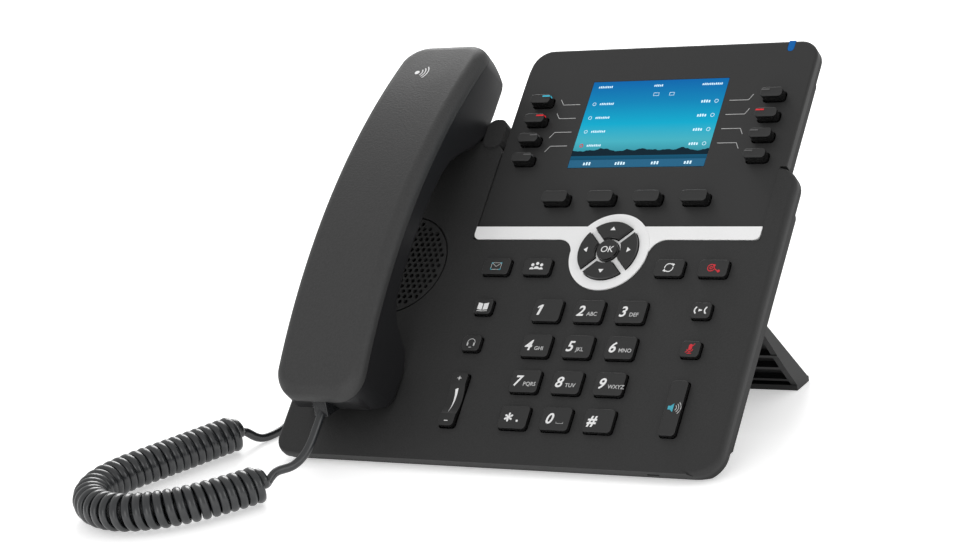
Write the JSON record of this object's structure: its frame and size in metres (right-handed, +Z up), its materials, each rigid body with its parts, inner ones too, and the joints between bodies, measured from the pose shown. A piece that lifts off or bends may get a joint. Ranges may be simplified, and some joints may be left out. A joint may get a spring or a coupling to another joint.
{
  "type": "desk telephone",
  "caption": "Corded desk telephone: sloping base with dial, function and line keys, a raised display, a handset on its cradle, a curly cord and a folding desk stand.",
  "frame": {"origin": "middle of the base's width and depth, on the table it stands on", "axes": "+X to the right of someone using it, +Y away from them, +Z up; the face slopes at 40 degrees, rising towards +Y"},
  "size_m": [0.3, 0.2744, 0.1616],
  "materials": {
    "cover_plastic": "fine spark-eroded grain",
    "display_plastic": "satin, very fine grain",
    "rear_plastic": "matt grain",
    "key_plastic": "satin",
    "trim_plastic": "satin white",
    "screen": "clear lens over a lit blue panel",
    "indicator": "translucent blue",
    "handset_top": "fine spark-eroded grain",
    "handset_bottom": "satin",
    "cord_plastic": "smooth extruded PVC",
    "plug_plastic": "clear smoked",
    "rubber": "matt",
    "silicone": "matt",
    "board": "solder-masked laminate",
    "speaker": "paper cone",
    "steel": "zinc plated",
    "stand_plastic": "matt grain"
  },
  "bodies": {
    "base": {"base_front_cover": "cover_plastic", "rear_cover": "rear_plastic", "display_front_cover": "display_plastic", "lcd_module": "screen", "nav_trim": "trim_plastic", "indicator_light": "indicator", "speaker_driver": "speaker", "main_board": "board", "key_mat": "silicone", "rubber_feet": "rubber", "screws": "steel", "cord_coil": "cord_plastic", "handset_cord_tail": "cord_plastic", "base_cord_tail": "cord_plastic", "base_plug": "plug_plastic"},
    "handset": {"handset_top_shell": "handset_top", "handset_bottom_shell": "handset_bottom", "handset_capsules": "speaker", "handset_plug": "plug_plastic"},
    "hook_plunger": {"hook_plunger": "key_plastic"},
    "desk_stand": {"desk_stand": "stand_plastic"},
    "volume_rocker": {"volume_rocker": "key_plastic"},
    "dial_key_1": {"dial_key_1": "key_plastic"},
    "dial_key_2": {"dial_key_2": "key_plastic"},
    "dial_key_3": {"dial_key_3": "key_plastic"},
    "dial_key_4": {"dial_key_4": "key_plastic"},
    "dial_key_5": {"dial_key_5": "key_plastic"},
    "dial_key_6": {"dial_key_6": "key_plastic"},
    "dial_key_7": {"dial_key_7": "key_plastic"},
    "dial_key_8": {"dial_key_8": "key_plastic"},
    "dial_key_9": {"dial_key_9": "key_plastic"},
    "dial_key_star": {"dial_key_star": "key_plastic"},
    "dial_key_0": {"dial_key_0": "key_plastic"},
    "dial_key_hash": {"dial_key_hash": "key_plastic"},
    "message_key": {"message_key": "key_plastic"},
    "conference_key": {"conference_key": "key_plastic"},
    "redial_key": {"redial_key": "key_plastic"},
    "release_key": {"release_key": "key_plastic"},
    "phonebook_key": {"phonebook_key": "key_plastic"},
    "headset_key": {"headset_key": "key_plastic"},
    "transfer_key": {"transfer_key": "key_plastic"},
    "mute_key": {"mute_key": "key_plastic"},
    "speaker_key": {"speaker_key": "key_plastic"},
    "line_key_left_1": {"line_key_left_1": "key_plastic"},
    "line_key_left_2": {"line_key_left_2": "key_plastic"},
    "line_key_left_3": {"line_key_left_3": "key_plastic"},
    "line_key_left_4": {"line_key_left_4": "key_plastic"},
    "line_key_right_1": {"line_key_right_1": "key_plastic"},
    "line_key_right_2": {"line_key_right_2": "key_plastic"},
    "line_key_right_3": {"line_key_right_3": "key_plastic"},
    "line_key_right_4": {"line_key_right_4": "key_plastic"},
    "soft_key_1": {"soft_key_1": "key_plastic"},
    "soft_key_2": {"soft_key_2": "key_plastic"},
    "soft_key_3": {"soft_key_3": "key_plastic"},
    "soft_key_4": {"soft_key_4": "key_plastic"},
    "ok_key": {"ok_key": "key_plastic"},
    "nav_key_right": {"nav_key_right": "key_plastic"},
    "nav_key_up": {"nav_key_up": "key_plastic"},
    "nav_key_left": {"nav_key_left": "key_plastic"},
    "nav_key_down": {"nav_key_down": "key_plastic"}
  },
  "joints": [
    {"name": "handset_lift", "type": "slide", "parent": "base", "child": "handset", "axis": [0, -0.6428, 0.766], "range_m": [0, 0.06]},
    {"name": "hook_rise", "type": "slide", "parent": "base", "child": "hook_plunger", "axis": [0, -0.6428, 0.766], "range_m": [0, 0.003]},
    {"name": "stand_hinge", "type": "hinge", "parent": "base", "child": "desk_stand", "pos_m": [0, 0.00411, 0.03935], "axis": [1, 0, 0], "range_deg": [-85, 0]},
    {"name": "volume_rock", "type": "hinge", "parent": "base", "child": "volume_rocker", "pos_m": [-0.0248, -0.05908, 0.02209], "axis": [1, 0, 0], "range_deg": [-3, 3], "stiffness_Nm_per_rad": 0.2},
    {"name": "dial_key_1_press", "type": "slide", "parent": "base", "child": "dial_key_1", "axis": [0, -0.6428, 0.766], "range_m": [-0.0015, 0], "stiffness_N_per_m": 200},
    {"name": "dial_key_2_press", "type": "slide", "parent": "base", "child": "dial_key_2", "axis": [0, -0.6428, 0.766], "range_m": [-0.0015, 0], "stiffness_N_per_m": 200},
    {"name": "dial_key_3_press", "type": "slide", "parent": "base", "child": "dial_key_3", "axis": [0, -0.6428, 0.766], "range_m": [-0.0015, 0], "stiffness_N_per_m": 200},
    {"name": "dial_key_4_press", "type": "slide", "parent": "base", "child": "dial_key_4", "axis": [0, -0.6428, 0.766], "range_m": [-0.0015, 0], "stiffness_N_per_m": 200},
    {"name": "dial_key_5_press", "type": "slide", "parent": "base", "child": "dial_key_5", "axis": [0, -0.6428, 0.766], "range_m": [-0.0015, 0], "stiffness_N_per_m": 200},
    {"name": "dial_key_6_press", "type": "slide", "parent": "base", "child": "dial_key_6", "axis": [0, -0.6428, 0.766], "range_m": [-0.0015, 0], "stiffness_N_per_m": 200},
    {"name": "dial_key_7_press", "type": "slide", "parent": "base", "child": "dial_key_7", "axis": [0, -0.6428, 0.766], "range_m": [-0.0015, 0], "stiffness_N_per_m": 200},
    {"name": "dial_key_8_press", "type": "slide", "parent": "base", "child": "dial_key_8", "axis": [0, -0.6428, 0.766], "range_m": [-0.0015, 0], "stiffness_N_per_m": 200},
    {"name": "dial_key_9_press", "type": "slide", "parent": "base", "child": "dial_key_9", "axis": [0, -0.6428, 0.766], "range_m": [-0.0015, 0], "stiffness_N_per_m": 200},
    {"name": "dial_key_star_press", "type": "slide", "parent": "base", "child": "dial_key_star", "axis": [0, -0.6428, 0.766], "range_m": [-0.0015, 0], "stiffness_N_per_m": 200},
    {"name": "dial_key_0_press", "type": "slide", "parent": "base", "child": "dial_key_0", "axis": [0, -0.6428, 0.766], "range_m": [-0.0015, 0], "stiffness_N_per_m": 200},
    {"name": "dial_key_hash_press", "type": "slide", "parent": "base", "child": "dial_key_hash", "axis": [0, -0.6428, 0.766], "range_m": [-0.0015, 0], "stiffness_N_per_m": 200},
    {"name": "message_press", "type": "slide", "parent": "base", "child": "message_key", "axis": [0, -0.6428, 0.766], "range_m": [-0.0015, 0], "stiffness_N_per_m": 200},
    {"name": "conference_press", "type": "slide", "parent": "base", "child": "conference_key", "axis": [0, -0.6428, 0.766], "range_m": [-0.0015, 0], "stiffness_N_per_m": 200},
    {"name": "redial_press", "type": "slide", "parent": "base", "child": "redial_key", "axis": [0, -0.6428, 0.766], "range_m": [-0.0015, 0], "stiffness_N_per_m": 200},
    {"name": "release_press", "type": "slide", "parent": "base", "child": "release_key", "axis": [0, -0.6428, 0.766], "range_m": [-0.0015, 0], "stiffness_N_per_m": 200},
    {"name": "phonebook_press", "type": "slide", "parent": "base", "child": "phonebook_key", "axis": [0, -0.6428, 0.766], "range_m": [-0.0015, 0], "stiffness_N_per_m": 200},
    {"name": "headset_press", "type": "slide", "parent": "base", "child": "headset_key", "axis": [0, -0.6428, 0.766], "range_m": [-0.0015, 0], "stiffness_N_per_m": 200},
    {"name": "transfer_press", "type": "slide", "parent": "base", "child": "transfer_key", "axis": [0, -0.6428, 0.766], "range_m": [-0.0015, 0], "stiffness_N_per_m": 200},
    {"name": "mute_press", "type": "slide", "parent": "base", "child": "mute_key", "axis": [0, -0.6428, 0.766], "range_m": [-0.0015, 0], "stiffness_N_per_m": 200},
    {"name": "speaker_press", "type": "slide", "parent": "base", "child": "speaker_key", "axis": [0, -0.6428, 0.766], "range_m": [-0.0015, 0], "stiffness_N_per_m": 200},
    {"name": "line_key_left_1_press", "type": "slide", "parent": "base", "child": "line_key_left_1", "axis": [0, -0.6428, 0.766], "range_m": [-0.0015, 0], "stiffness_N_per_m": 200},
    {"name": "line_key_left_2_press", "type": "slide", "parent": "base", "child": "line_key_left_2", "axis": [0, -0.6428, 0.766], "range_m": [-0.0015, 0], "stiffness_N_per_m": 200},
    {"name": "line_key_left_3_press", "type": "slide", "parent": "base", "child": "line_key_left_3", "axis": [0, -0.6428, 0.766], "range_m": [-0.0015, 0], "stiffness_N_per_m": 200},
    {"name": "line_key_left_4_press", "type": "slide", "parent": "base", "child": "line_key_left_4", "axis": [0, -0.6428, 0.766], "range_m": [-0.0015, 0], "stiffness_N_per_m": 200},
    {"name": "line_key_right_1_press", "type": "slide", "parent": "base", "child": "line_key_right_1", "axis": [0, -0.6428, 0.766], "range_m": [-0.0015, 0], "stiffness_N_per_m": 200},
    {"name": "line_key_right_2_press", "type": "slide", "parent": "base", "child": "line_key_right_2", "axis": [0, -0.6428, 0.766], "range_m": [-0.0015, 0], "stiffness_N_per_m": 200},
    {"name": "line_key_right_3_press", "type": "slide", "parent": "base", "child": "line_key_right_3", "axis": [0, -0.6428, 0.766], "range_m": [-0.0015, 0], "stiffness_N_per_m": 200},
    {"name": "line_key_right_4_press", "type": "slide", "parent": "base", "child": "line_key_right_4", "axis": [0, -0.6428, 0.766], "range_m": [-0.0015, 0], "stiffness_N_per_m": 200},
    {"name": "soft_key_1_press", "type": "slide", "parent": "base", "child": "soft_key_1", "axis": [0, -0.6428, 0.766], "range_m": [-0.0015, 0], "stiffness_N_per_m": 200},
    {"name": "soft_key_2_press", "type": "slide", "parent": "base", "child": "soft_key_2", "axis": [0, -0.6428, 0.766], "range_m": [-0.0015, 0], "stiffness_N_per_m": 200},
    {"name": "soft_key_3_press", "type": "slide", "parent": "base", "child": "soft_key_3", "axis": [0, -0.6428, 0.766], "range_m": [-0.0015, 0], "stiffness_N_per_m": 200},
    {"name": "soft_key_4_press", "type": "slide", "parent": "base", "child": "soft_key_4", "axis": [0, -0.6428, 0.766], "range_m": [-0.0015, 0], "stiffness_N_per_m": 200},
    {"name": "ok_press", "type": "slide", "parent": "base", "child": "ok_key", "axis": [0, -0.6428, 0.766], "range_m": [-0.0015, 0], "stiffness_N_per_m": 200},
    {"name": "nav_key_right_press", "type": "slide", "parent": "base", "child": "nav_key_right", "axis": [0, -0.6428, 0.766], "range_m": [-0.0015, 0], "stiffness_N_per_m": 200},
    {"name": "nav_key_up_press", "type": "slide", "parent": "base", "child": "nav_key_up", "axis": [0, -0.6428, 0.766], "range_m": [-0.0015, 0], "stiffness_N_per_m": 200},
    {"name": "nav_key_left_press", "type": "slide", "parent": "base", "child": "nav_key_left", "axis": [0, -0.6428, 0.766], "range_m": [-0.0015, 0], "stiffness_N_per_m": 200},
    {"name": "nav_key_down_press", "type": "slide", "parent": "base", "child": "nav_key_down", "axis": [0, -0.6428, 0.766], "range_m": [-0.0015, 0], "stiffness_N_per_m": 200}
  ],
  "couplings": [
    {"joint": "hook_rise", "follows": "handset_lift", "ratio": 0.05}
  ]
}
